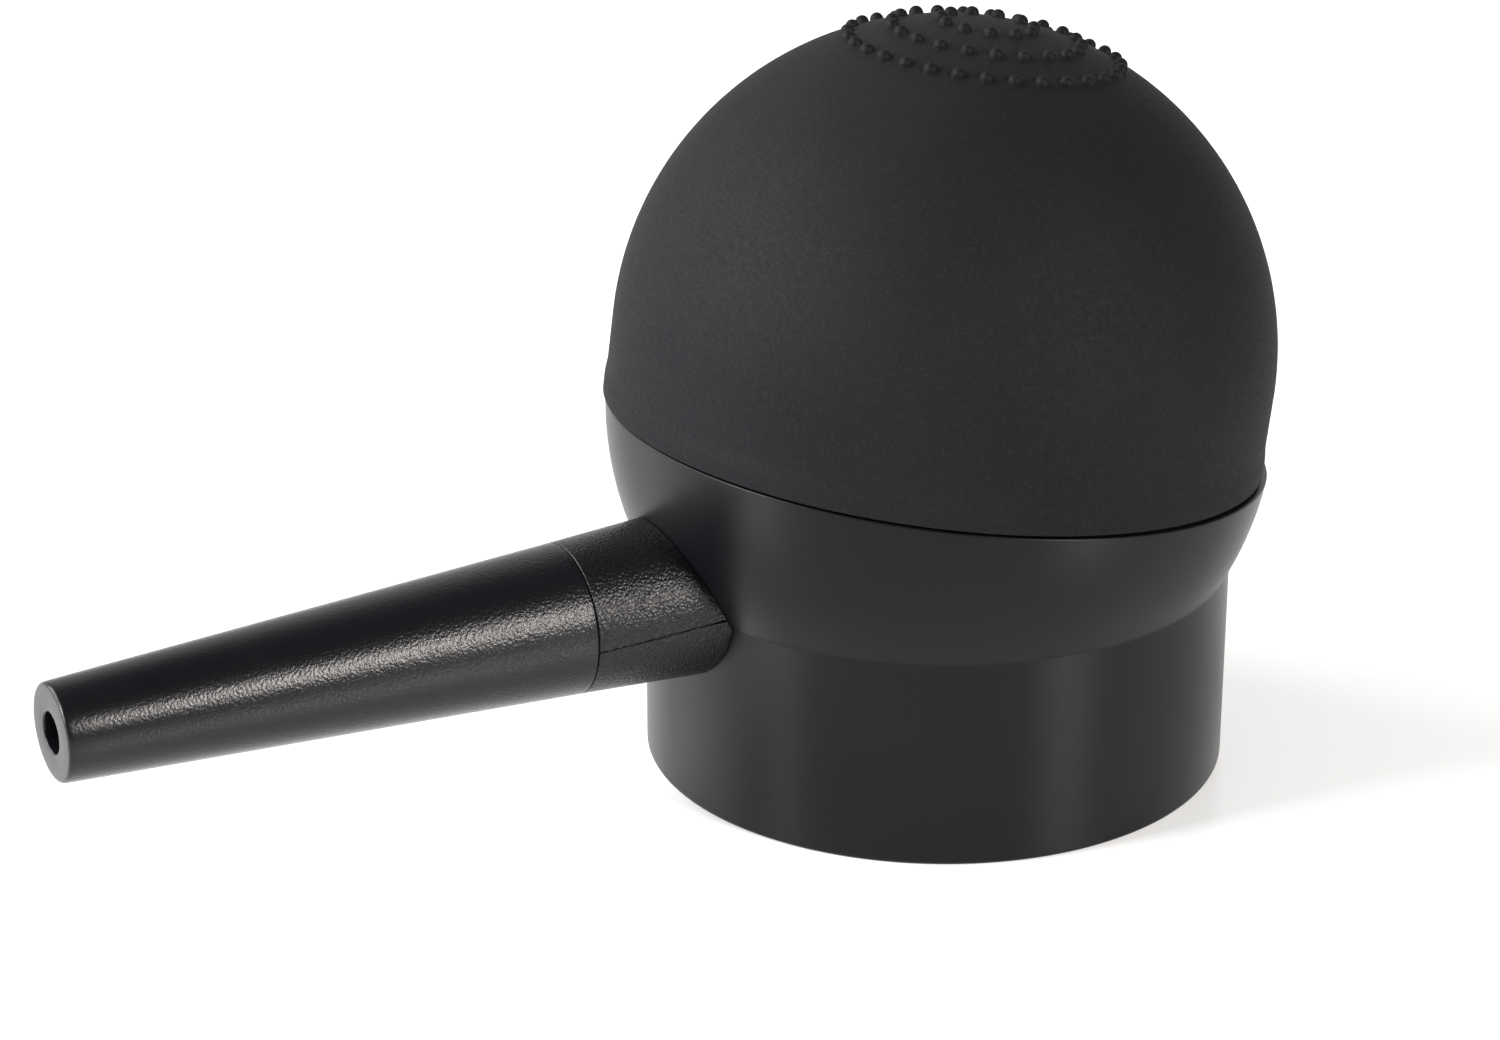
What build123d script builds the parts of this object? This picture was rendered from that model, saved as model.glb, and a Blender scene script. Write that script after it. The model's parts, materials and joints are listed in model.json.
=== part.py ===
from build123d import *
import os
from math import asin, cos, radians, sin, sqrt, tan

# A hand blower with a squeeze bulb on a round collar, a skirt that screws onto a bottle neck, and
# a long tapered nozzle out of its side. Millimetres, +Z up. The origin is the centre of the
# skirt's bottom rim, and the nozzle points along -X. The bulb leans back, away from the nozzle.

# Collar and skirt, one moulding
skirt_radius = 22.3
skirt_height = 16.1
shell_wall = 1.4
collar_bulge = 2.95  # how far the ball-shaped collar stands out past the skirt
rim_edge = 0.3  # broken edges of the moulding

# Seam between collar and bulb, square to the bulb's leaning axis
bulb_lean = 7.6  # degrees
seam_drop = 2.0  # from the collar's ball centre down to the seam
seam_shift = 0.35  # the bulb's axis, nearer to the nozzle than the ball centre
seam_gap = 0.25

# Silicone bulb
bulb_setback = 0.3  # the bulb's wall, inside the collar's ball
bulb_wall = 1.6
bulb_straight = 6.2  # from the seam to the start of the dome
band_height = 2.4
band_proud = 0.12
foot_grip = 1.2  # how far the bulb's foot reaches in under the seat's barb
foot_height = 2.2
pip_radius = 0.55
pip_rings = ((3.45, 11), (7.0, 21), (10.1, 31))  # ring radius, number of pips

# Seat ring that carries the bulb
seat_wall = 1.4
seat_depth = 5.0
barb_height = 1.8
barb_lead = 0.9

# Outlet: elbow inside, boss outside, nozzle on the boss
outlet_rise = 0.75  # the outlet's axis, above the skirt's top edge
elbow_radius = 4.0
elbow_bore = 2.8
elbow_foot = 2.0  # below the plate
elbow_shoulder = 1.0
boss_length = 9.7
boss_root_radius = 6.2
boss_end_radius = 5.63
boss_bore = 1.9
boss_tail = 5.0  # inside the elbow
spigot_radius = 3.9
spigot_length = 10.0
nozzle_length = 39.5
nozzle_tip_radius = 3.58
nozzle_bore = 1.5
nozzle_throat = 2.6
tip_bore_length = 10.0
tip_edge = 0.35

# Valve plate and its two valves
plate_thickness = 1.8
port_radius = 0.8
delivery_ports = 6
delivery_port_ring = 3.2
stem_radius = 1.2
stem_bead = 1.9
valve_disc_radius = 4.9
valve_disc = 0.8
valve_lift = 0.6
intake_ports = 18
intake_port_radius = 0.5
flap_thickness = 0.5
flap_cover = 0.3  # how far the flap reaches past its ports
air_gap = 1.9  # between the neck liner and the skirt, where air comes in
holders = 6  # supports, ears and flap hooks, one of each at every place
holder_width = 3.0
holder_height = 2.4
ear_height = 1.0
hook_wall = 0.9
snap_bead = 0.4

# Air tube under the delivery valve
socket_wall = 0.7
socket_depth = 2.0
tube_wall = 0.8
tube_cup = 3.0
tube_cone = 2.4
tube_tip_radius = 2.6

# Neck liner and its seal
liner_recess = 0.3
liner_wall = 1.3
guide_length = 2.4
guide_relief = 0.2  # the plain guide at the mouth is this much wider than the thread's root
thread_pitch = 3.0
thread_depth = 0.9
thread_base = 1.6
thread_crest = 0.7
seal_thickness = 1.2
seal_width = 2.0

# Clearances
face_gap = 0.1  # between faces that are pressed together
side_gap = 0.15  # around a piece that drops into another
running = 0.08  # radial, a spigot in its socket
free_gap = 0.4  # past a moving piece, or beside a separate one

# Worked out from the sizes above
skirt_inner = skirt_radius - shell_wall
collar_radius = skirt_radius + collar_bulge
collar_centre = skirt_height + sqrt(collar_radius**2 - skirt_radius**2)
lean_sin = sin(radians(bulb_lean))
lean_cos = cos(radians(bulb_lean))
seam_x = -seam_drop * lean_sin - seam_shift * lean_cos
seam_z = collar_centre - seam_drop * lean_cos + seam_shift * lean_sin
seam = Plane(origin=(seam_x, 0, seam_z), x_dir=(lean_cos, 0, -lean_sin), z_dir=(lean_sin, 0, lean_cos))
bulb_radius = collar_radius - bulb_setback
bulb_inner = bulb_radius - bulb_wall
foot_inner = bulb_inner - foot_grip
foot_top = seam_gap + foot_height
seat_neck = foot_inner - side_gap
seat_inner = seat_neck - seat_wall

outlet_z = skirt_height + outlet_rise
tail_radius = elbow_bore - running
plate_top = outlet_z - elbow_radius - free_gap - valve_lift - flap_thickness - face_gap
plate_bottom = plate_top - plate_thickness
plate_radius = skirt_inner - side_gap
flap_room = face_gap + flap_thickness + valve_lift

liner_outer = skirt_inner - air_gap
neck_radius = liner_outer - liner_wall
liner_top = plate_bottom - face_gap
intake_ring = liner_outer + face_gap + intake_port_radius
flap_inner = intake_ring - intake_port_radius - flap_cover
flap_outer = skirt_inner - snap_bead - side_gap
seal_bottom = plate_bottom - face_gap - seal_thickness
guide_top = liner_recess + guide_length
tube_radius = valve_disc_radius + free_gap + tube_wall
socket_inner = tube_radius + running
socket_outer = socket_inner + socket_wall
elbow_x = socket_outer + free_gap + elbow_radius
elbow_mouth = skirt_inner - free_gap

nozzle_start = -(skirt_radius + boss_length)
nozzle_tip = nozzle_start - nozzle_length
everywhere = 4 * collar_radius  # larger than the whole object
rise = (Align.CENTER, Align.CENTER, Align.MIN)


def disc(radius, bottom, top):
    """A solid disc about the Z axis."""
    return Pos(0, 0, bottom) * Cylinder(radius, top - bottom, align=rise)


def ring(inner, outer, bottom, top):
    """A flat ring about the Z axis."""
    return disc(outer, bottom, top) - disc(inner, bottom - 1, top + 1)


def turned(*lines):
    """A body turned about the Z axis from lines that close a half section of (radius, height)."""
    edges = [edge for line in lines for edge in line.edges()]
    return revolve(Plane.XZ * make_face(edges), Axis.Z)


def turned_points(*points):
    """A body turned about the Z axis from the corners of its half section."""
    return turned(Polyline(*points, close=True))


def to_outlet(body):
    """Lays a body that was turned about Z along the outlet: its height becomes the reach along -X."""
    return Pos(0, 0, outlet_z) * Rot(0, -90, 0) * body


def around(count, first, body):
    """Copies of a body at even steps about the Z axis, the first one at an angle in degrees."""
    return [Rot(0, 0, first + 360 / count * i) * body for i in range(count)]


def radial_block(inner, outer, width, bottom, top):
    """A block that reaches from one radius to another along +X."""
    size = Box(outer - inner, width, top - bottom)
    return Pos((inner + outer) / 2, 0, (bottom + top) / 2) * size


def at_holders(body):
    """Copies of a body at the places of the supports, which leave the outlet's side free."""
    return around(holders, 180 / holders, body)


def shell_form(grow):
    """The outside of skirt and collar, moved outwards by grow and not yet cut at the seam."""
    skirt = disc(skirt_radius + grow, min(grow, 0), skirt_height)
    return skirt + Pos(0, 0, collar_centre) * Sphere(collar_radius + grow)


def outer_shell():
    """Skirt and collar, open below for the neck and above for the bulb."""
    above_seam = seam.location * Pos(0, 0, everywhere / 2) * Box(everywhere, everywhere, everywhere)
    body = shell_form(0) - shell_form(-shell_wall) - above_seam
    rim = turned_points(
        (skirt_radius - rim_edge, -1),
        (skirt_radius - rim_edge, 0),
        (skirt_radius, rim_edge),
        (skirt_radius + 1, rim_edge),
        (skirt_radius + 1, -1),
    )
    hole = to_outlet(disc(tail_radius + side_gap, skirt_inner - 2, skirt_radius + collar_bulge))
    support_top = liner_top - ear_height - face_gap
    support = radial_block(
        liner_outer + side_gap,
        skirt_inner + shell_wall / 2,
        holder_width,
        support_top - holder_height,
        support_top,
    )
    bead_bottom = plate_top + face_gap
    bead = turned_points(
        (skirt_inner + face_gap, bead_bottom),
        (skirt_inner - snap_bead, bead_bottom + snap_bead),
        (skirt_inner + face_gap, bead_bottom + 2 * snap_bead),
    )
    return body - rim - hole + bead + at_holders(support)


def bulb_pips():
    """Small round grip pips on the crown, in rings about the bulb's axis."""
    pips = []
    for ring_radius, count in pip_rings:
        height = bulb_straight + sqrt(bulb_radius**2 - ring_radius**2)
        pips += around(count, 0, Pos(ring_radius, 0, height) * Sphere(pip_radius))
    return pips


def squeeze_bulb():
    """Thin silicone dome with a slightly thicker band and an inward foot at the seam."""
    band_radius = bulb_radius + band_proud
    band_top = seam_gap + band_height
    crown = bulb_straight + bulb_radius
    body = turned(
        Polyline(
            (foot_inner, seam_gap),
            (band_radius, seam_gap),
            (band_radius, band_top),
            (bulb_radius, band_top + band_proud),
            (bulb_radius, bulb_straight),
        ),
        CenterArc((0, bulb_straight), bulb_radius, 0, 90),
        Line((0, crown), (0, crown - bulb_wall)),
        CenterArc((0, bulb_straight), bulb_inner, 0, 90),
        Polyline(
            (bulb_inner, bulb_straight),
            (bulb_inner, foot_top),
            (foot_inner, foot_top),
            (foot_inner, seam_gap),
        ),
    )
    return seam.location * (body + bulb_pips())


def bulb_seat_ring():
    """Ring inside the collar's top, with an upstand whose barb holds the bulb's foot."""
    barb_bottom = foot_top + side_gap
    barb_radius = bulb_inner - side_gap
    upstand = turned_points(
        (seat_inner, -1),
        (seat_neck, -1),
        (seat_neck, barb_bottom),
        (barb_radius, barb_bottom),
        (barb_radius, barb_bottom + barb_height - barb_lead),
        (seat_neck, barb_bottom + barb_height),
        (seat_inner, barb_bottom + barb_height),
    )
    base = seam.location * ring(seat_inner, collar_radius, -seat_depth, 0)
    ball = Pos(0, 0, collar_centre) * Sphere(collar_radius - shell_wall - side_gap)
    return (base & ball) + seam.location * upstand


def valve_plate():
    """Partition between bulb and bottle, with ports for both valves and the elbow's hole."""
    body = disc(plate_radius, plate_bottom, plate_top)
    body += ring(socket_inner, socket_outer, plate_bottom - socket_depth, plate_bottom)
    hook_outer = flap_inner - side_gap
    hook_top = plate_top + flap_room + side_gap + hook_wall
    post = radial_block(hook_outer - hook_wall, hook_outer, holder_width, plate_bottom, hook_top)
    lip_outer = flap_inner + flap_cover + face_gap
    lip = radial_block(hook_outer - hook_wall, lip_outer, holder_width, hook_top - hook_wall, hook_top)
    body += at_holders(post + lip)
    body -= disc(stem_radius + side_gap, plate_bottom - 1, plate_top + 1)
    port = Pos(delivery_port_ring, 0, 0) * disc(port_radius, plate_bottom - 1, plate_top + 1)
    body -= around(delivery_ports, 0, port)
    intake = Pos(intake_ring, 0, 0) * disc(intake_port_radius, plate_bottom - 1, plate_top + 1)
    body -= around(intake_ports, 0, intake)
    return body - Pos(-elbow_x, 0, 0) * disc(elbow_radius + side_gap, plate_bottom - 1, plate_top + 1)


def delivery_valve():
    """Silicone umbrella valve that lets air down into the bottle and hangs by its beaded stem."""
    disc_top = plate_bottom - face_gap
    bead_bottom = plate_top + face_gap + valve_lift
    return turned_points(
        (0, disc_top - valve_disc),
        (valve_disc_radius - valve_disc, disc_top - valve_disc),
        (valve_disc_radius, disc_top - valve_disc / 2),
        (valve_disc_radius, disc_top),
        (stem_radius, disc_top),
        (stem_radius, bead_bottom),
        (stem_bead, bead_bottom),
        (stem_bead, bead_bottom + stem_radius / 2),
        (stem_radius, bead_bottom + stem_bead),
        (0, bead_bottom + stem_bead),
    )


def intake_flap():
    """Loose silicone ring over the intake ports, which lifts as the bulb fills again."""
    bottom = plate_top + face_gap
    return ring(flap_inner, flap_outer, bottom, bottom + flap_thickness)


def air_tube():
    """Cup and short tube that push up into the plate's socket and lead the air down."""
    top = plate_bottom - face_gap
    cup_bottom = top - tube_cup
    cone_bottom = cup_bottom - tube_cone
    return turned_points(
        (tube_radius, top),
        (tube_radius, cup_bottom),
        (tube_tip_radius, cone_bottom),
        (tube_tip_radius, guide_top + free_gap),
        (tube_tip_radius - tube_wall, guide_top + free_gap),
        (tube_tip_radius - tube_wall, cone_bottom),
        (tube_radius - tube_wall, cup_bottom),
        (tube_radius - tube_wall, top),
    )


def neck_liner():
    """Threaded sleeve for the bottle neck, with a plain guide at its mouth and ears at its top."""
    body = ring(neck_radius, liner_outer, liner_recess, liner_top)
    body -= disc(neck_radius + guide_relief, 0, guide_top)
    ear = radial_block(
        liner_outer - liner_wall / 2,
        skirt_inner - side_gap,
        holder_width,
        liner_top - ear_height,
        liner_top,
    )
    thread_bottom = guide_top + thread_base / 2 + face_gap
    thread_rise = seal_bottom - free_gap - thread_base / 2 - thread_bottom
    path = Helix(thread_pitch, thread_rise, neck_radius)
    start = Plane(origin=path @ 0, x_dir=(1, 0, 0), z_dir=path % 0)
    ridge = Polyline(
        (liner_wall / 3, -thread_base / 2),
        (liner_wall / 3, thread_base / 2),
        (-thread_depth, thread_crest / 2),
        (-thread_depth, -thread_crest / 2),
        close=True,
    )
    thread = Pos(0, 0, thread_bottom) * sweep(start * make_face(ridge.edges()), path=path, is_frenet=True)
    return body + at_holders(ear) + thread


def neck_seal():
    """Soft flat washer that the rim of the bottle neck closes against, clear of the elbow."""
    outer = neck_radius - side_gap
    body = ring(outer - seal_width, outer, seal_bottom, seal_bottom + seal_thickness)
    return body - Pos(-elbow_x, 0, 0) * disc(elbow_radius + side_gap, 0, plate_top)


def outlet_elbow():
    """Duct from the bottle through the plate and round to the outlet in the skirt's wall."""
    corner = Pos(-elbow_x, 0, outlet_z)
    foot = plate_bottom - elbow_foot

    def duct(radius, spare):
        down = Pos(-elbow_x, 0, 0) * disc(radius, foot - spare, outlet_z)
        return down + to_outlet(disc(radius, elbow_x, skirt_inner)) + corner * Sphere(radius)

    shoulder = disc(elbow_radius + elbow_shoulder, plate_top + face_gap, plate_top + elbow_shoulder)
    body = duct(elbow_radius, 0) + Pos(-elbow_x, 0, 0) * shoulder - duct(elbow_bore, 1)
    return body & disc(elbow_mouth, 0, collar_centre)


def outlet_boss():
    """Outlet moulding: a tail through the shell's wall, a tapered boss and the nozzle's spigot."""
    draft = (boss_root_radius - boss_end_radius) / boss_length
    inboard = boss_root_radius  # enough to reach the curved shell all round
    boss = turned_points(
        (0, skirt_radius - inboard),
        (boss_root_radius + draft * inboard, skirt_radius - inboard),
        (boss_end_radius, -nozzle_start),
        (0, -nozzle_start),
    )
    tail_end = elbow_mouth - boss_tail
    tail = disc(tail_radius, tail_end, -nozzle_start)
    spigot = disc(spigot_radius, -nozzle_start - 1, -nozzle_start + spigot_length)
    bore = disc(boss_bore, tail_end - 1, -nozzle_start + spigot_length + 1)
    return (to_outlet(boss) - shell_form(face_gap)) + to_outlet(tail + spigot) - to_outlet(bore)


def nozzle():
    """Long tapered nozzle that pushes onto the boss's spigot."""
    start = -nozzle_start + face_gap
    tip = -nozzle_tip
    socket_end = -nozzle_start + spigot_length + free_gap
    taper = tan(asin((boss_end_radius - nozzle_tip_radius) / nozzle_length))
    edge_radius = nozzle_tip_radius + taper * tip_edge
    return to_outlet(
        turned_points(
            (spigot_radius + running, start),
            (boss_end_radius - tip_edge / 2, start),
            (boss_end_radius, start + tip_edge / 2),
            (edge_radius, tip - tip_edge),
            (nozzle_tip_radius - tip_edge, tip),
            (nozzle_bore, tip),
            (nozzle_bore, tip - tip_bore_length),
            (nozzle_throat, socket_end),
            (spigot_radius + running, socket_end),
        )
    )


pieces = (
    outer_shell,
    squeeze_bulb,
    bulb_seat_ring,
    valve_plate,
    delivery_valve,
    intake_flap,
    air_tube,
    neck_liner,
    neck_seal,
    outlet_elbow,
    outlet_boss,
    nozzle,
)

os.makedirs("parts", exist_ok=True)
for piece in pieces:
    export_step(piece(), f"parts/{piece.__name__}.step")
print("bulb leans on an axis through", tuple(seam.origin), "along", tuple(seam.z_dir))
print("outlet axis height", outlet_z, "tip at x", nozzle_tip, "neck bore radius", neck_radius)
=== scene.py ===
import json
import math

import bmesh
import bpy
from mathutils import Matrix, Vector


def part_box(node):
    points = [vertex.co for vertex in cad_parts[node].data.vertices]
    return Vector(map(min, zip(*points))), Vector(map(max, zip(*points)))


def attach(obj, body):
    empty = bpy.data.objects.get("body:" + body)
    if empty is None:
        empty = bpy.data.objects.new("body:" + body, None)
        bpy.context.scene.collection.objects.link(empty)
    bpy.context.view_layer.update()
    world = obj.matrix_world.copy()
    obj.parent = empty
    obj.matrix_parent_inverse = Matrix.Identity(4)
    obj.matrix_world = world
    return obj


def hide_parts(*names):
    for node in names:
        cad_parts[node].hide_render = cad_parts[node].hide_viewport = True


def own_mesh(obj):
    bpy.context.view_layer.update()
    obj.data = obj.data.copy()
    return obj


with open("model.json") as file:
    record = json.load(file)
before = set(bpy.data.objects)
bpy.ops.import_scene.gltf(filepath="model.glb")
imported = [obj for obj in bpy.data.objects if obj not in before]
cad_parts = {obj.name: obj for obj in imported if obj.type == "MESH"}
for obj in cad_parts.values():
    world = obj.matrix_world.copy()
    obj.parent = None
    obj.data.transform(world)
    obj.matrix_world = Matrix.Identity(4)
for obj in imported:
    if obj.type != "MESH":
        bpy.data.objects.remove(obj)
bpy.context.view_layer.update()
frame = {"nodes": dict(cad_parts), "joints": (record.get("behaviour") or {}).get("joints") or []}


# ------------------------------------------------------------------ neck liner and its seal
# The threaded sleeve that takes the bottle's neck, moulded in plain dark grey plastic and hung by six
# ears inside the skirt, with the pale foam washer at its top that the neck closes on.

def new_finish(name, base, roughness):
    """An empty material with its own shader, object coordinates and a link function."""
    finish = bpy.data.materials.new(name)
    finish.use_nodes = True
    tree = finish.node_tree
    shader = tree.nodes["Principled BSDF"]
    shader.inputs["Base Color"].default_value = (*base, 1)
    shader.inputs["Roughness"].default_value = roughness
    place = tree.nodes.new("ShaderNodeTexCoord")
    return finish, tree, shader, place.outputs["Object"]


def mottle_group():
    """Slow cloudy variation of a moulding, and the fine grain of its tool, as two masks about 0.5."""
    group = bpy.data.node_groups.new("moulding mottle", "ShaderNodeTree")
    group.interface.new_socket("Position", in_out="INPUT", socket_type="NodeSocketVector")
    group.interface.new_socket("Cloud Scale", in_out="INPUT", socket_type="NodeSocketFloat")
    group.interface.new_socket("Grain Scale", in_out="INPUT", socket_type="NodeSocketFloat")
    group.interface.new_socket("Cloud", in_out="OUTPUT", socket_type="NodeSocketFloat")
    group.interface.new_socket("Grain", in_out="OUTPUT", socket_type="NodeSocketFloat")
    take = group.nodes.new("NodeGroupInput")
    give = group.nodes.new("NodeGroupOutput")
    for size, result, detail in (("Cloud Scale", "Cloud", 3), ("Grain Scale", "Grain", 2)):
        noise = group.nodes.new("ShaderNodeTexNoise")
        noise.inputs["Detail"].default_value = detail
        group.links.new(take.outputs["Position"], noise.inputs["Vector"])
        group.links.new(take.outputs[size], noise.inputs["Scale"])
        group.links.new(noise.outputs["Fac"], give.inputs[result])
    return group


mottle = mottle_group()


def add_mottle(tree, place, cloud_scale, grain_scale):
    """The mottle group placed in a material, with its own scales."""
    node = tree.nodes.new("ShaderNodeGroup")
    node.node_tree = mottle
    node.inputs["Cloud Scale"].default_value = cloud_scale
    node.inputs["Grain Scale"].default_value = grain_scale
    tree.links.new(place, node.inputs["Position"])
    return node


def ranged(tree, mask, low, high, start=0.35, end=0.65):
    """A mask turned into a value that runs from low to high."""
    node = tree.nodes.new("ShaderNodeMapRange")
    for socket, value in (("From Min", start), ("From Max", end), ("To Min", low), ("To Max", high)):
        node.inputs[socket].default_value = value
    tree.links.new(mask, node.inputs["Value"])
    return node.outputs["Result"]


def shaded(tree, mask, dark, light):
    """A colour that runs from dark to light with a mask."""
    node = tree.nodes.new("ShaderNodeMix")
    node.data_type = "RGBA"
    node.inputs["A"].default_value = (*dark, 1)
    node.inputs["B"].default_value = (*light, 1)
    tree.links.new(mask, node.inputs["Factor"])
    return node.outputs["Result"]


def bumped(tree, shader, height, depth):
    """Feeds a height into the shader's normal, with the bump's depth in metres."""
    node = tree.nodes.new("ShaderNodeBump")
    node.inputs["Strength"].default_value = 1
    node.inputs["Distance"].default_value = depth
    tree.links.new(height, node.inputs["Height"])
    tree.links.new(node.outputs["Normal"], shader.inputs["Normal"])


def moulded(name, base, light, roughness, spread, grain_scale, depth, cloud_scale=120):
    """A moulded finish: clouded colour and roughness, and the tool's fine grain as a bump."""
    finish, tree, shader, place = new_finish(name, base, roughness)
    node = add_mottle(tree, place, cloud_scale, grain_scale)
    clouds = ranged(tree, node.outputs["Cloud"], 0, 1)
    tree.links.new(shaded(tree, clouds, base, light), shader.inputs["Base Color"])
    rough = ranged(tree, node.outputs["Cloud"], roughness - spread, roughness + spread)
    tree.links.new(rough, shader.inputs["Roughness"])
    bumped(tree, shader, node.outputs["Grain"], depth)
    return finish


def finish_node(name, finish):
    """Gives a CAD node its material."""
    piece = frame["nodes"][name]
    piece.data.materials.clear()
    piece.data.materials.append(finish)


liner_dark = (0.030, 0.030, 0.031)
liner_light = (0.040, 0.040, 0.041)
foam_dark = (0.55, 0.54, 0.50)
foam_light = (0.64, 0.63, 0.59)
liner_plastic = moulded("liner plastic", liner_dark, liner_light, 0.42, 0.05, 3000, 6e-6)
seal_foam = moulded("seal foam", foam_dark, foam_light, 0.85, 0.05, 5200, 4e-5, 700)
finish_node("neck_liner", liner_plastic)
finish_node("neck_seal", seal_foam)


# ------------------------------------------------------------------ valve plate, air tube, elbow, seat ring
# The partition between bottle and bulb, the cup and tube that push into its socket, the elbow that
# leads the air out to the side, and the barbed ring that holds the bulb. All plain dark mouldings.

plate_dark = (0.026, 0.026, 0.027)
plate_light = (0.034, 0.034, 0.035)
plate_plastic = moulded("plate plastic", plate_dark, plate_light, 0.38, 0.05, 2600, 6e-6)
for name in ("valve_plate", "air_tube", "outlet_elbow", "bulb_seat_ring"):
    finish_node(name, plate_plastic)


# ------------------------------------------------------------------ valves
# Two soft milky silicone pieces: the umbrella that hangs under the plate and lets air down, and the
# loose ring over the intake ports. Both only lift by a fraction of a millimetre.

milky_dark = (0.36, 0.36, 0.35)
milky_light = (0.44, 0.44, 0.43)
valve_silicone = moulded("valve silicone", milky_dark, milky_light, 0.45, 0.06, 2200, 5e-6, 300)
for name in ("delivery_valve", "intake_flap"):
    finish_node(name, valve_silicone)


# ------------------------------------------------------------------ outer shell
# Collar and skirt in one satin black moulding: a straight round skirt that meets a ball-shaped collar
# in a crisp corner, cut off at a slant for the bulb. Six supports inside carry the neck liner's ears.

mm = 0.001
skirt_radius = 22.3 * mm
skirt_height = 16.1 * mm
shell_wall = 1.4 * mm
ball_radius = 25.25 * mm
ball_height = skirt_height + math.sqrt(ball_radius**2 - skirt_radius**2)
seam_drop = 2.0 * mm
seam_shift = 0.35 * mm
rim_round = 0.13 * mm
foot_round = 0.35 * mm
corner_round = 0.30 * mm
shoulder_step = 0.4 * mm  # between the inside of the skirt and the inside of the collar
shoulder_drop = 0.3 * mm
shell_steps = 256
shell_dark = (0.0026, 0.0028, 0.0038)
shell_light = (0.0036, 0.0038, 0.0048)

press = next(joint for joint in frame["joints"] if joint["name"] == "bulb_press")
lean = -Vector(press["axis"]).normalized()
along_seam = Vector((lean.z, 0, -lean.x))
ball_centre = Vector((0, 0, ball_height))
seam_centre = ball_centre - lean * seam_drop - along_seam * seam_shift


def arc(centre_r, centre_h, radius, start, end, steps):
    """Points of an arc in a half section, from one angle to another in degrees."""
    turns = [math.radians(start + (end - start) * i / steps) for i in range(steps + 1)]
    return [(centre_r + radius * math.cos(t), centre_h + radius * math.sin(t)) for t in turns]


def skin(name, rows):
    """A closed mesh through rows of points: each row is a closed outline, and the rows close in a ring."""
    count, total = len(rows[0]), len(rows)
    faces = []
    for i in range(total):
        here, there = i * count, (i + 1) % total * count
        for j in range(count):
            k = (j + 1) % count
            faces.append((here + j, there + j, there + k, here + k))
    mesh = bpy.data.meshes.new(name)
    mesh.from_pydata([tuple(point) for row in rows for point in row], [], faces)
    work = bmesh.new()
    work.from_mesh(mesh)
    bmesh.ops.remove_doubles(work, verts=work.verts, dist=1e-8)
    bmesh.ops.recalc_face_normals(work, faces=work.faces)
    work.to_mesh(mesh)
    work.free()
    piece = bpy.data.objects.new(name, mesh)
    bpy.context.scene.collection.objects.link(piece)
    return piece


def smooth(piece, finish, sharp=32):
    """Smooth shading with sharp edges kept, and one finish all over."""
    piece.data.shade_smooth()
    piece.data.set_sharp_from_angle(angle=math.radians(sharp))
    piece.data.materials.clear()
    piece.data.materials.append(finish)


def ball_point(turn, radius, drop):
    """Where a ball about the collar's centre meets a plane that lies drop below it, square to the lean."""
    across, up = lean.x * math.cos(turn), lean.z
    polar = math.atan2(across, up) + math.acos(-drop / radius / math.hypot(across, up))
    return radius * math.sin(polar), ball_height + radius * math.cos(polar)


def ball_arc(turn, radius, low, drop, steps):
    """The ball's outline at one turn, from a height up to the slanting plane."""
    start = math.asin((low - ball_height) / radius)
    end_r, end_h = ball_point(turn, radius, drop)
    end = math.atan2(end_h - ball_height, end_r)
    return arc(0, ball_height, radius, math.degrees(start), math.degrees(end), steps)


def shell_outline(turn):
    """The shell's closed half section at one turn: up the outside, over the rim and down the inside."""
    inner_skirt, inner_ball = skirt_radius - shell_wall, ball_radius - shell_wall
    rise = math.asin((skirt_height - ball_height) / ball_radius)
    slope = math.degrees(rise) + 90
    outside = arc(skirt_radius - foot_round, foot_round, foot_round, -90, 0, 5)
    reach = corner_round * math.tan(math.radians((slope - 90) / 2 + 45) / 2)
    outside += arc(skirt_radius + corner_round, skirt_height - reach, corner_round, 180, 180 + slope - 90, 4)
    outside += ball_arc(turn, ball_radius, skirt_height + reach, seam_drop + rim_round, 40)
    rim = []
    for step in range(1, 6):
        bend = math.radians(18 * step)
        radius = ball_radius - rim_round * (1 - math.cos(bend))
        rim.append(ball_point(turn, radius, seam_drop + rim_round * (1 - math.sin(bend))))
    inside = ball_arc(turn, inner_ball, skirt_height + shoulder_step, seam_drop, 24)[::-1]
    inside.append((inner_skirt, skirt_height - shoulder_drop))
    inside += [(inner_skirt, skirt_height / 2), (inner_skirt, 0)]
    return outside + rim + inside


def turned_point(turn, radius, height):
    return Vector((radius * math.cos(turn), radius * math.sin(turn), height))


turns = [2 * math.pi * i / shell_steps for i in range(shell_steps)]
shell = skin("shell", [[turned_point(t, r, h) for r, h in shell_outline(t)] for t in turns])


def plain(piece):
    """Turns what the modifiers make into the piece's own mesh, and removes them."""
    graph = bpy.context.evaluated_depsgraph_get()
    mesh = bpy.data.meshes.new_from_object(piece.evaluated_get(graph))
    piece.modifiers.clear()
    piece.data = mesh


def cut(piece, tool):
    """Takes a tool's shape out of a piece, and the tool away."""
    change = piece.modifiers.new("cut", "BOOLEAN")
    change.operation = "DIFFERENCE"
    change.solver = "EXACT"
    change.object = tool
    plain(piece)
    bpy.data.objects.remove(tool)


def lathe(name, outline, steps, place=Matrix.Identity(4)):
    """A closed outline of (radius, height) turned about Z, then moved to its place."""
    spins = [2 * math.pi * i / steps for i in range(steps)]
    return skin(name, [[place @ turned_point(t, r, h) for r, h in outline] for t in spins])


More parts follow.
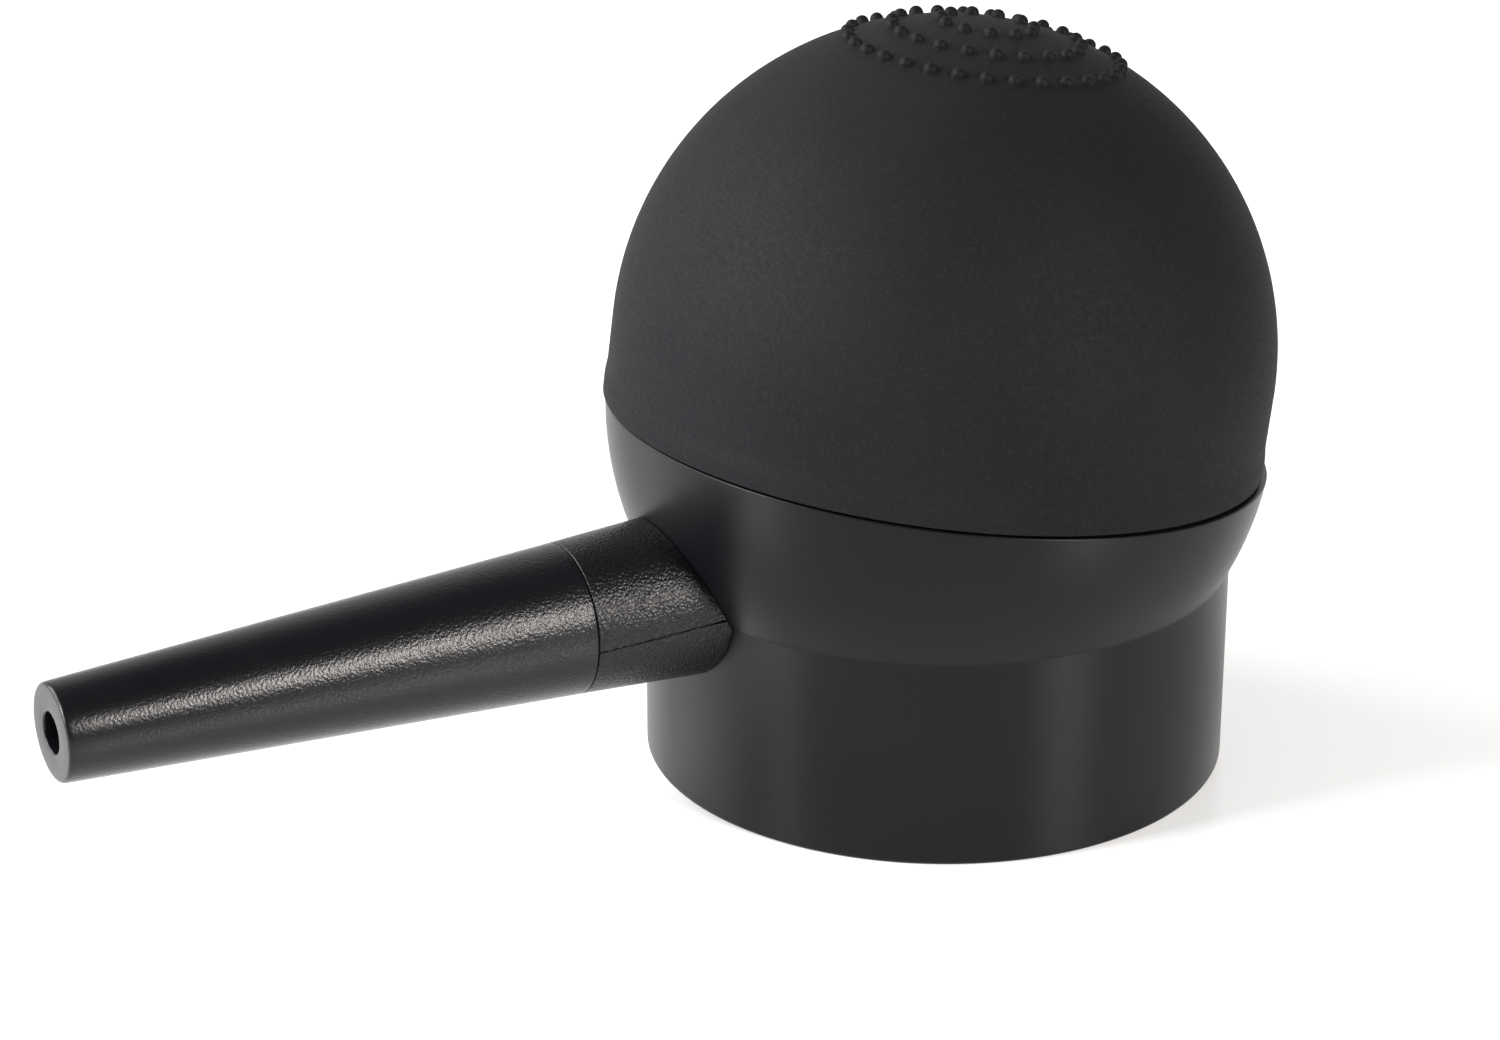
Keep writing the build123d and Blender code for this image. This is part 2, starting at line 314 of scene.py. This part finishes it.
outlet_height = (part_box("nozzle")[0].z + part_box("nozzle")[1].z) / 2
to_outlet = Matrix.Translation((0, 0, outlet_height)) @ Matrix.Rotation(-math.pi / 2, 4, "Y")
tail_hole = 2.87 * mm
hole_start = 15 * mm
hole_end = 26 * mm
hole_outline = [(0, hole_start), (tail_hole, hole_start), (tail_hole, hole_end), (0, hole_end)]
hole = lathe("hole", hole_outline, 48, to_outlet)
cut(shell, hole)


def ring_tree():
    """Geometry Nodes: copies of a shape in a ring about Z, turned outwards and leant with the surface."""
    tree = bpy.data.node_groups.new("ring of copies", "GeometryNodeTree")
    tree.is_modifier = True
    sockets = (
        ("Base", "Geometry"),
        ("Shape", "Object"),
        ("Copies", "Int"),
        ("Ring Radius", "Float"),
        ("Height", "Float"),
        ("First Angle", "Float"),
        ("Lean", "Float"),
        ("Size Spread", "Float"),
        ("Seed", "Int"),
        ("Finish", "Material"),
    )
    for name, kind in sockets:
        tree.interface.new_socket(name, in_out="INPUT", socket_type=f"NodeSocket{kind}")
    tree.interface.new_socket("Result", in_out="OUTPUT", socket_type="NodeSocketGeometry")
    take, give = tree.nodes.new("NodeGroupInput"), tree.nodes.new("NodeGroupOutput")

    def add(kind, **inputs):
        node = tree.nodes.new(kind)
        for name, value in inputs.items():
            socket = node.inputs[name.replace("_", " ")]
            if isinstance(value, bpy.types.NodeSocket):
                tree.links.new(value, socket)
            else:
                socket.default_value = value
        return node

    turn_start = add("ShaderNodeCombineXYZ", Z=take.outputs["First Angle"])
    lift = add("ShaderNodeCombineXYZ", Z=take.outputs["Height"])
    copies_wanted, ring_size = take.outputs["Copies"], take.outputs["Ring Radius"]
    circle = add("GeometryNodeMeshCircle", Vertices=copies_wanted, Radius=ring_size)
    placed = add(
        "GeometryNodeTransform",
        Geometry=circle.outputs["Mesh"],
        Translation=lift.outputs[0],
        Rotation=turn_start.outputs[0],
    )
    where = add("ShaderNodeSeparateXYZ", Vector=add("GeometryNodeInputPosition").outputs[0])
    angle = tree.nodes.new("ShaderNodeMath")
    angle.operation = "ARCTAN2"
    tree.links.new(where.outputs["Y"], angle.inputs[0])
    tree.links.new(where.outputs["X"], angle.inputs[1])
    facing = add("ShaderNodeCombineXYZ", Y=take.outputs["Lean"], Z=angle.outputs[0])
    spread = tree.nodes.new("ShaderNodeMath")
    spread.operation = "SUBTRACT"
    spread.inputs[0].default_value = 1
    tree.links.new(take.outputs["Size Spread"], spread.inputs[1])
    size = add("FunctionNodeRandomValue", Seed=take.outputs["Seed"])
    tree.links.new(spread.outputs[0], size.inputs[2])
    size.inputs[3].default_value = 1
    shape = add("GeometryNodeObjectInfo", Object=take.outputs["Shape"])
    copies = add(
        "GeometryNodeInstanceOnPoints",
        Points=placed.outputs["Geometry"],
        Instance=shape.outputs["Geometry"],
        Rotation=facing.outputs[0],
        Scale=size.outputs[1],
    )
    real = add("GeometryNodeRealizeInstances", Geometry=copies.outputs["Instances"])
    painted = add("GeometryNodeSetMaterial", Geometry=real.outputs[0], Material=take.outputs["Finish"])
    joined = tree.nodes.new("GeometryNodeJoinGeometry")
    tree.links.new(painted.outputs[0], joined.inputs[0])
    tree.links.new(take.outputs["Base"], joined.inputs[0])
    tree.links.new(joined.outputs[0], give.inputs["Result"])
    return tree


ring_of_copies = ring_tree()


def add_ring(piece, **values):
    """Adds one ring of copies to a piece, with the tree's inputs given by name."""
    change = piece.modifiers.new("ring", "NODES")
    change.node_group = ring_of_copies
    for item in ring_of_copies.interface.items_tree:
        key = item.name.lower().replace(" ", "_")
        if item.in_out == "INPUT" and key in values:
            change[item.identifier] = values[key]


def block(name, length, width, height, edge):
    """A block about the origin with rounded edges."""
    mesh = bpy.data.meshes.new(name)
    work = bmesh.new()
    bmesh.ops.create_cube(work, size=1, matrix=Matrix.Diagonal((length, width, height, 1)))
    bmesh.ops.bevel(work, geom=work.edges, offset=edge, segments=2, affect="EDGES")
    work.to_mesh(mesh)
    work.free()
    piece = bpy.data.objects.new(name, mesh)
    bpy.context.scene.collection.objects.link(piece)
    return piece


shell_satin = moulded("shell satin", shell_dark, shell_light, 0.33, 0.02, 2600, 2.0e-6, 60)
shell_satin.node_tree.nodes["Principled BSDF"].inputs["Specular IOR Level"].default_value = 0.18
smooth(shell, shell_satin, 28)

ear_height = 1.0 * mm
ear_gap = 0.1 * mm
supports = 6
support_height = 2.4 * mm
support_reach = 2.4 * mm
support_width = 3.0 * mm
support_edge = 0.2 * mm
support_root = 0.5 * mm  # how far a support goes into the wall
support_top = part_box("neck_liner")[1].z - ear_height - ear_gap
support = block("support", support_reach, support_width, support_height, support_edge)
add_ring(
    shell,
    shape=support,
    copies=supports,
    ring_radius=skirt_radius - shell_wall + support_root - support_reach / 2,
    height=support_top - support_height / 2,
    first_angle=math.pi / supports,
    lean=0.0,
    size_spread=0.0,
    seed=1,
    finish=shell_satin,
)
plain(shell)
bpy.data.objects.remove(support)
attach(shell, "shell")
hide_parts("outer_shell")


# ------------------------------------------------------------------ squeeze bulb
# A soft dome of matte black silicone, turned about its own leaning axis. Its thick foot grips the seat ring,
# a band a shade wider than the wall runs above the seam, and its lowest edge is rounded.

lip_gap = 0.17 * mm
bulb_radius = ball_radius - 0.3 * mm
bulb_wall = 1.6 * mm
bulb_straight = 6.2 * mm
band_proud = 0.12 * mm
band_bottom = 1.2 * mm
band_top = 2.6 * mm
lip_round = 0.12 * mm
foot_reach = 1.2 * mm
foot_top = 2.45 * mm
bulb_dark = (0.0055, 0.0060, 0.0074)
bulb_light = (0.0070, 0.0075, 0.0089)
bulb_speck = (0.0130, 0.0140, 0.0155)

seam_place = Matrix.Translation(seam_centre) @ Matrix((along_seam, (0, 1, 0), lean)).transposed().to_4x4()


def bulb_outline():
    """The bulb's closed half section, from the foot's underside up the outside and back down inside."""
    band = bulb_radius + band_proud
    inner = bulb_radius - bulb_wall
    foot = inner - foot_reach
    outline = [(foot, lip_gap), (band - 2 * lip_round, lip_gap)]
    outline += arc(band - lip_round, lip_gap + lip_round, lip_round, -90, 0, 6)
    for step in range(13):
        share = step / 12
        ease = share * share * (3 - 2 * share)
        outline.append((band - band_proud * ease, band_bottom + (band_top - band_bottom) * share))
    outline.append((bulb_radius, (band_top + bulb_straight) / 2))
    outline += arc(0, bulb_straight, bulb_radius, 0, 90, 72)
    outline += arc(0, bulb_straight, inner, 90, 0, 40)
    outline += [(inner, foot_top), (foot, foot_top)]
    return outline


def speckle_group():
    """Fine pale specks in silicone, as one mask: small dots of differing strength, one in each cell."""
    group = bpy.data.node_groups.new("silicone speckle", "ShaderNodeTree")
    group.interface.new_socket("Position", in_out="INPUT", socket_type="NodeSocketVector")
    group.interface.new_socket("Speck Scale", in_out="INPUT", socket_type="NodeSocketFloat")
    group.interface.new_socket("Speck Size", in_out="INPUT", socket_type="NodeSocketFloat")
    group.interface.new_socket("Specks", in_out="OUTPUT", socket_type="NodeSocketFloat")
    take, give = group.nodes.new("NodeGroupInput"), group.nodes.new("NodeGroupOutput")
    cells = group.nodes.new("ShaderNodeTexVoronoi")
    group.links.new(take.outputs["Position"], cells.inputs["Vector"])
    group.links.new(take.outputs["Speck Scale"], cells.inputs["Scale"])
    near = group.nodes.new("ShaderNodeMapRange")
    group.links.new(cells.outputs["Distance"], near.inputs["Value"])
    group.links.new(take.outputs["Speck Size"], near.inputs["From Max"])
    near.inputs["To Min"].default_value = 1
    near.inputs["To Max"].default_value = 0
    few = group.nodes.new("ShaderNodeSeparateColor")
    group.links.new(cells.outputs["Color"], few.inputs["Color"])
    chosen = group.nodes.new("ShaderNodeMapRange")
    group.links.new(few.outputs["Red"], chosen.inputs["Value"])
    chosen.inputs["From Min"].default_value = 0.30
    both = group.nodes.new("ShaderNodeMath")
    both.operation = "MULTIPLY"
    group.links.new(near.outputs["Result"], both.inputs[0])
    group.links.new(chosen.outputs["Result"], both.inputs[1])
    group.links.new(both.outputs[0], give.inputs["Specks"])
    return group


speckle = speckle_group()


def silicone(name, dark, light, speck, roughness, depth):
    """Matte black silicone: a faint bloom, fine pale specks and a very fine skin."""
    finish, tree, shader, place = new_finish(name, dark, roughness)
    cloud = add_mottle(tree, place, 90, 3400)
    specks = tree.nodes.new("ShaderNodeGroup")
    specks.node_tree = speckle
    specks.inputs["Speck Scale"].default_value = 3600
    specks.inputs["Speck Size"].default_value = 0.5
    tree.links.new(place, specks.inputs["Position"])
    bloom = shaded(tree, ranged(tree, cloud.outputs["Cloud"], 0, 1), dark, light)
    dusted = tree.nodes.new("ShaderNodeMix")
    dusted.data_type = "RGBA"
    tree.links.new(specks.outputs["Specks"], dusted.inputs["Factor"])
    tree.links.new(bloom, dusted.inputs["A"])
    dusted.inputs["B"].default_value = (*speck, 1)
    tree.links.new(dusted.outputs["Result"], shader.inputs["Base Color"])
    rough = ranged(tree, cloud.outputs["Grain"], roughness - 0.05, roughness + 0.05)
    tree.links.new(rough, shader.inputs["Roughness"])
    bumped(tree, shader, cloud.outputs["Grain"], depth)
    shader.inputs["Specular IOR Level"].default_value = 0.13
    return finish


bulb_silicone = silicone("bulb silicone", bulb_dark, bulb_light, bulb_speck, 0.72, 9e-6)
bulb = lathe("bulb", bulb_outline(), 224, seam_place)
smooth(bulb, bulb_silicone, 40)


def squeeze(piece):
    """Hangs a piece of the bulb on the shell's body, with a mesh of its own, and hides the CAD bulb."""
    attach(piece, "shell")
    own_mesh(piece)
    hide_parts("squeeze_bulb")


squeeze(bulb)


# ------------------------------------------------------------------ grip pips
# Three rings of small domed pegs moulded on the bulb's crown, so that a finger doesn't slip. They are
# of the bulb's own silicone, given slightly darker colours as painted shade, since they catch less of the
# light.

pip_radius = 0.54 * mm
pip_foot = 0.05 * mm
pip_root = 0.5 * mm  # how far a pip goes into the dome
pip_rings = ((3.45 * mm, 11, 0.20), (7.0 * mm, 21, 0.05), (10.1 * mm, 31, 0.10))  # radius, pips, start
# Painted shade: the pips' colours, specks included, are the bulb's silicone made darker.
pip_painted_shade_dark = (0.0040, 0.0043, 0.0054)
pip_painted_shade_light = (0.0052, 0.0055, 0.0066)
pip_painted_shade_speck = (0.010, 0.011, 0.012)

pip_outline = [(0, -pip_root), (pip_radius + pip_foot, -pip_root), (pip_radius + pip_foot, 0)]
pip_outline += arc(pip_radius + pip_foot, pip_foot, pip_foot, -90, -180, 3)[1:]
pip_outline += arc(0, pip_foot, pip_radius, 0, 90, 6)[1:]
pip = lathe("pip", pip_outline, 16)
# A darker copy of the bulb's silicone, as painted shade.
pip_silicone_painted_shade = silicone("pip silicone, painted shade", pip_painted_shade_dark, pip_painted_shade_light, pip_painted_shade_speck, 0.62, 9e-6)
smooth(pip, pip_silicone_painted_shade, 60)

pips = bpy.data.objects.new("grip_pips", bpy.data.meshes.new("grip_pips"))
bpy.context.scene.collection.objects.link(pips)
for number, (ring_radius, count, first) in enumerate(pip_rings):
    add_ring(
        pips,
        shape=pip,
        copies=count,
        ring_radius=ring_radius,
        height=bulb_straight + math.sqrt(bulb_radius**2 - ring_radius**2),
        first_angle=first,
        lean=math.asin(ring_radius / bulb_radius),
        size_spread=0.06,
        seed=number,
        finish=pip_silicone_painted_shade,
    )
plain(pips)
pips.data.transform(seam_place)
bpy.data.objects.remove(pip)
squeeze(pips)


# ------------------------------------------------------------------ outlet boss
# The side outlet, a separate tapered moulding with a coarse spark-eroded grain. Its inner end follows
# the shell, its tail plugs into the elbow, its spigot holds the nozzle, and a parting line runs along it.

boss_root = 6.2 * mm
boss_end = 5.63 * mm
boss_length = 9.7 * mm
boss_bore = 1.9 * mm
boss_edge = 0.05 * mm
tail_radius = 2.72 * mm
tail_edge = 0.2 * mm
spigot_radius = 3.9 * mm
spigot_lead = 0.4 * mm
spigot_edge = 0.3 * mm
line_depth = 0.11 * mm
line_half_width = 0.10 * mm
line_slope = math.radians(6)
shell_clear = 0.02 * mm
boss_steps = 192
boss_dark = (0.0028, 0.0030, 0.0040)
boss_light = (0.0050, 0.0052, 0.0064)

joint_reach = skirt_radius + boss_length
boss_draft = (boss_root - boss_end) / boss_length
tail_reach = -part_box("outlet_boss")[1].x
spigot_reach = -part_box("outlet_boss")[0].x


def cone_radius(reach):
    return boss_end + (joint_reach - reach) * boss_draft


def shell_reach(turn, radius):
    """How far out the shell's surface is at a turn and radius about the outlet's axis."""
    side, height = radius * math.sin(turn), outlet_height + radius * math.cos(turn)
    if height < skirt_height:
        return math.sqrt((skirt_radius + shell_clear) ** 2 - side**2)
    return math.sqrt((ball_radius + shell_clear) ** 2 - side**2 - (height - ball_height) ** 2)


def boss_outline(turn):
    """The boss's closed half section at a turn about its axis, as (radius, reach)."""
    line = line_depth * max(0, 1 - abs(math.cos(turn)) * boss_root / line_half_width)
    root = cone_radius(shell_reach(turn, boss_root))
    outline = [(boss_bore, tail_reach), (tail_radius - tail_edge, tail_reach)]
    outline.append((tail_radius, tail_reach + tail_edge))
    for step in range(7):
        radius = tail_radius + (root - boss_edge - tail_radius) * step / 6
        outline.append((radius, shell_reach(turn, radius)))
    start = shell_reach(turn, root) + boss_edge
    for step in range(13):
        reach = start + (joint_reach - boss_edge - start) * step / 12
        outline.append((cone_radius(reach) - line, reach))
    outline.append((boss_end - boss_edge, joint_reach))
    outline.append((spigot_radius, joint_reach))
    outline.append((spigot_radius, spigot_reach - spigot_lead))
    outline.append((spigot_radius - spigot_edge, spigot_reach))
    outline.append((boss_bore, spigot_reach))
    return outline


def boss_point(turn, radius, reach):
    """A point of the boss. The parting lines drop a little from the shell to the nozzle's joint."""
    turn += line_slope * math.sin(turn) * max(0, min(1, (reach - skirt_radius) / boss_length))
    return Vector((-reach, radius * math.sin(turn), outlet_height + radius * math.cos(turn)))


def line_turns():
    """Turns about the axis, closer together at the two parting lines so that the groove has its shape."""
    fine = [math.degrees(line_half_width / boss_root) * part for part in (-1, -0.5, 0, 0.5, 1)]
    even = [360 / boss_steps * i for i in range(boss_steps)]
    kept = [a for a in even if min(abs(a - 90), abs(a - 270)) > 1]
    return sorted(kept + [90 + a for a in fine] + [270 + a for a in fine])


boss_turns = [math.radians(a) for a in line_turns()]
boss = skin("boss", [[boss_point(t, r, reach) for r, reach in boss_outline(t)] for t in boss_turns])


def spark_grain(name, base, light, roughness, scale, depth):
    """Coarse spark-eroded texture: small rounded craters whose slopes sparkle under a highlight."""
    finish, tree, shader, place = new_finish(name, base, roughness)
    shader.inputs["Specular IOR Level"].default_value = 0.29
    node = add_mottle(tree, place, 200, scale)
    cells = tree.nodes.new("ShaderNodeTexVoronoi")
    cells.inputs["Scale"].default_value = scale * 0.8
    tree.links.new(place, cells.inputs["Vector"])
    height = tree.nodes.new("ShaderNodeMath")
    height.operation = "ADD"
    tree.links.new(node.outputs["Grain"], height.inputs[0])
    tree.links.new(cells.outputs["Distance"], height.inputs[1])
    colour = shaded(tree, ranged(tree, node.outputs["Grain"], 0, 1), base, light)
    tree.links.new(colour, shader.inputs["Base Color"])
    rough = ranged(tree, cells.outputs["Distance"], roughness - 0.06, roughness + 0.06, 0, 0.8)
    tree.links.new(rough, shader.inputs["Roughness"])
    bumped(tree, shader, height.outputs[0], depth)
    return finish


boss_grain = spark_grain("boss spark grain", boss_dark, boss_light, 0.31, 5600, 3.8e-5)
smooth(boss, boss_grain, 30)
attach(boss, "shell")
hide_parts("outlet_boss")


# ------------------------------------------------------------------ nozzle
# The long tapered nozzle, smooth and semi-gloss, with a flat tip, a small bore and a socket that pushes
# onto the boss's spigot. Its tool was left a little coarse near the joint and polished towards the tip.

nozzle_low, nozzle_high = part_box("nozzle")
nozzle_start, nozzle_tip = -nozzle_high.x, -nozzle_low.x
tip_radius = 3.58 * mm
tip_round = 0.3 * mm
tip_bore = 1.5 * mm
bore_round = 0.15 * mm
throat = 2.6 * mm
socket_running = 0.08 * mm
socket_radius = spigot_radius + socket_running
socket_spare = 0.4 * mm
socket_end = spigot_reach + socket_spare
start_round = 0.05 * mm
tip_bore_length = 10 * mm
nozzle_dark = (0.0032, 0.0034, 0.0048)
nozzle_light = (0.0044, 0.0046, 0.0060)


def nozzle_radius(reach):
    share = (reach - nozzle_start) / (nozzle_tip - nozzle_start)
    return boss_end + (tip_radius - boss_end) * share


def nozzle_outline():
    """The nozzle's closed half section, as (radius, reach): out along the taper and back up the bore."""
    outline = arc(boss_end - start_round, nozzle_start + start_round, start_round, -90, 0, 4)
    first, last = nozzle_start + 0.5 * mm, nozzle_tip - 2 * tip_round
    for step in range(33):
        reach = first + (last - first) * step / 32
        outline.append((nozzle_radius(reach), reach))
    outline += arc(tip_radius - tip_round, nozzle_tip - tip_round, tip_round, 0, 90, 6)
    outline += arc(tip_bore + bore_round, nozzle_tip - bore_round, bore_round, 90, 180, 4)
    outline += [
        (tip_bore, nozzle_tip - tip_bore_length),
        (throat, socket_end),
        (socket_radius, socket_end),
        (socket_radius, nozzle_start),
    ]
    return outline


def nozzle_finish():
    """Semi-gloss black, with the fine grain fading out along the nozzle's length."""
    finish, tree, shader, place = new_finish("nozzle semi-gloss", nozzle_dark, 0.27)
    shader.inputs["Specular IOR Level"].default_value = 0.32
    node = add_mottle(tree, place, 150, 5000)
    clouds = ranged(tree, node.outputs["Cloud"], 0, 1)
    colour = shaded(tree, clouds, nozzle_dark, nozzle_light)
    tree.links.new(colour, shader.inputs["Base Color"])
    split = tree.nodes.new("ShaderNodeSeparateXYZ")
    tree.links.new(place, split.inputs[0])
    fade = ranged(tree, split.outputs["X"], 0.35, 1, -nozzle_tip, -nozzle_start)
    height = tree.nodes.new("ShaderNodeMath")
    height.operation = "MULTIPLY"
    tree.links.new(node.outputs["Grain"], height.inputs[0])
    tree.links.new(fade, height.inputs[1])
    tree.links.new(ranged(tree, fade, 0.25, 0.28, 0.35, 1), shader.inputs["Roughness"])
    bumped(tree, shader, height.outputs[0], 4.9e-5)
    return finish


nozzle = lathe("nozzle_tube", nozzle_outline(), 160, to_outlet)
smooth(nozzle, nozzle_finish(), 30)
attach(nozzle, "nozzle")
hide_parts("nozzle")


# ------------------------------------------------------------------ floor, camera and light
# A plain white table top, lit by a large soft box on the left, a narrow one to the left of the camera
# and a narrow, slightly warm one to the right, in a room that is brightest on the left and behind.

floor_half = 3.0
floor_corners = [(x * floor_half, y * floor_half, 0) for x, y in ((-1, -1), (1, -1), (1, 1), (-1, 1))]
floor_mesh = bpy.data.meshes.new("floor")
floor_mesh.from_pydata(floor_corners, [], [(0, 1, 2, 3)])
floor = bpy.data.objects.new("floor", floor_mesh)
bpy.context.scene.collection.objects.link(floor)
paper, _, paper_shader, _ = new_finish("floor paper", (0.70, 0.70, 0.695), 0.25)
paper_shader.inputs["Emission Color"].default_value = (1, 1, 1, 1)
paper_shader.inputs["Emission Strength"].default_value = 0.37
floor_mesh.materials.append(paper)

view_turn = math.radians(-29.59)
view_rise = math.radians(22.57)
level_look = Vector((-math.sin(view_turn), math.cos(view_turn), 0))
look = level_look * math.cos(view_rise) - Vector((0, 0, math.sin(view_rise)))
right = Vector((math.cos(view_turn), math.sin(view_turn), 0))
above = right.cross(look)
camera_distance = 303.9 * mm
aim_height = 29.73 * mm
camera = bpy.data.objects.new("camera", bpy.data.cameras.new("camera"))
bpy.context.scene.collection.objects.link(camera)
camera.data.sensor_width = 36
camera.data.lens = 96.8
camera.data.dof.use_dof = False
camera.data.clip_start = 0.01
camera_roll = math.radians(0.095)
tilted_right = right * math.cos(camera_roll) + above * math.sin(camera_roll)
tilted_above = above * math.cos(camera_roll) - right * math.sin(camera_roll)
aside = tilted_right * 14.33 * mm + tilted_above * 10.74 * mm
camera.location = Vector((0, 0, aim_height)) - look * camera_distance - aside
camera.rotation_euler = Matrix((tilted_right, tilted_above, -look)).transposed().to_euler()
bpy.context.scene.camera = camera


def soft_box(name, turn, rise, distance, width, height, power, tint=(1, 1, 1)):
    """A soft box at a turn to the right of the camera and a rise above the table, facing the object."""
    bearing = view_turn - math.pi / 2 + math.radians(turn)
    level = math.radians(rise)
    towards = Vector((math.cos(bearing), math.sin(bearing), 0)) * math.cos(level)
    towards.z = math.sin(level)
    light = bpy.data.lights.new(name, "AREA")
    light.shape = "RECTANGLE"
    light.size, light.size_y, light.energy = width, height, power
    light.color = tint
    lamp = bpy.data.objects.new(name, light)
    bpy.context.scene.collection.objects.link(lamp)
    lamp.location = Vector((0, 0, 0.03)) + towards * distance
    lamp.rotation_euler = (-towards).to_track_quat("-Z", "Y").to_euler()


soft_box("soft_box_right", 50, 24, 0.9, 0.18, 0.25, 8.8, (1, 0.95, 0.91))
soft_box("soft_box_left", -96, 32, 1.2, 1.2, 1.0, 24.0)
soft_box("soft_box_left_front", -65, 20, 0.9, 0.16, 0.36, 7.0)

world = bpy.data.worlds.new("studio")
bpy.context.scene.world = world
world.use_nodes = True
room = world.node_tree
room_light = room.nodes["Background"]
sky = room.nodes.new("ShaderNodeTexCoord")


def room_side(direction, start, end, dark, bright):
    """How bright the room is towards one side, from dark away from it to bright."""
    node = room.nodes.new("ShaderNodeVectorMath")
    node.operation = "DOT_PRODUCT"
    node.inputs[1].default_value = direction
    room.links.new(sky.outputs["Generated"], node.inputs[0])
    return ranged(room, node.outputs["Value"], dark, bright, start, end)


sides = room.nodes.new("ShaderNodeMath")
sides.operation = "MAXIMUM"
room.links.new(room_side(-right, -0.1, 1.0, 0.12, 0.80), sides.inputs[0])
room.links.new(room_side(level_look, 0.45, 0.85, 0.0, 0.85), sides.inputs[1])
seen = room.nodes.new("ShaderNodeLightPath")
choice = room.nodes.new("ShaderNodeMix")
room.links.new(seen.outputs["Is Camera Ray"], choice.inputs["Factor"])
room.links.new(sides.outputs[0], choice.inputs["A"])
choice.inputs["B"].default_value = 1.0
room.links.new(choice.outputs["Result"], room_light.inputs["Color"])
bpy.context.scene.view_settings.view_transform = "Standard"
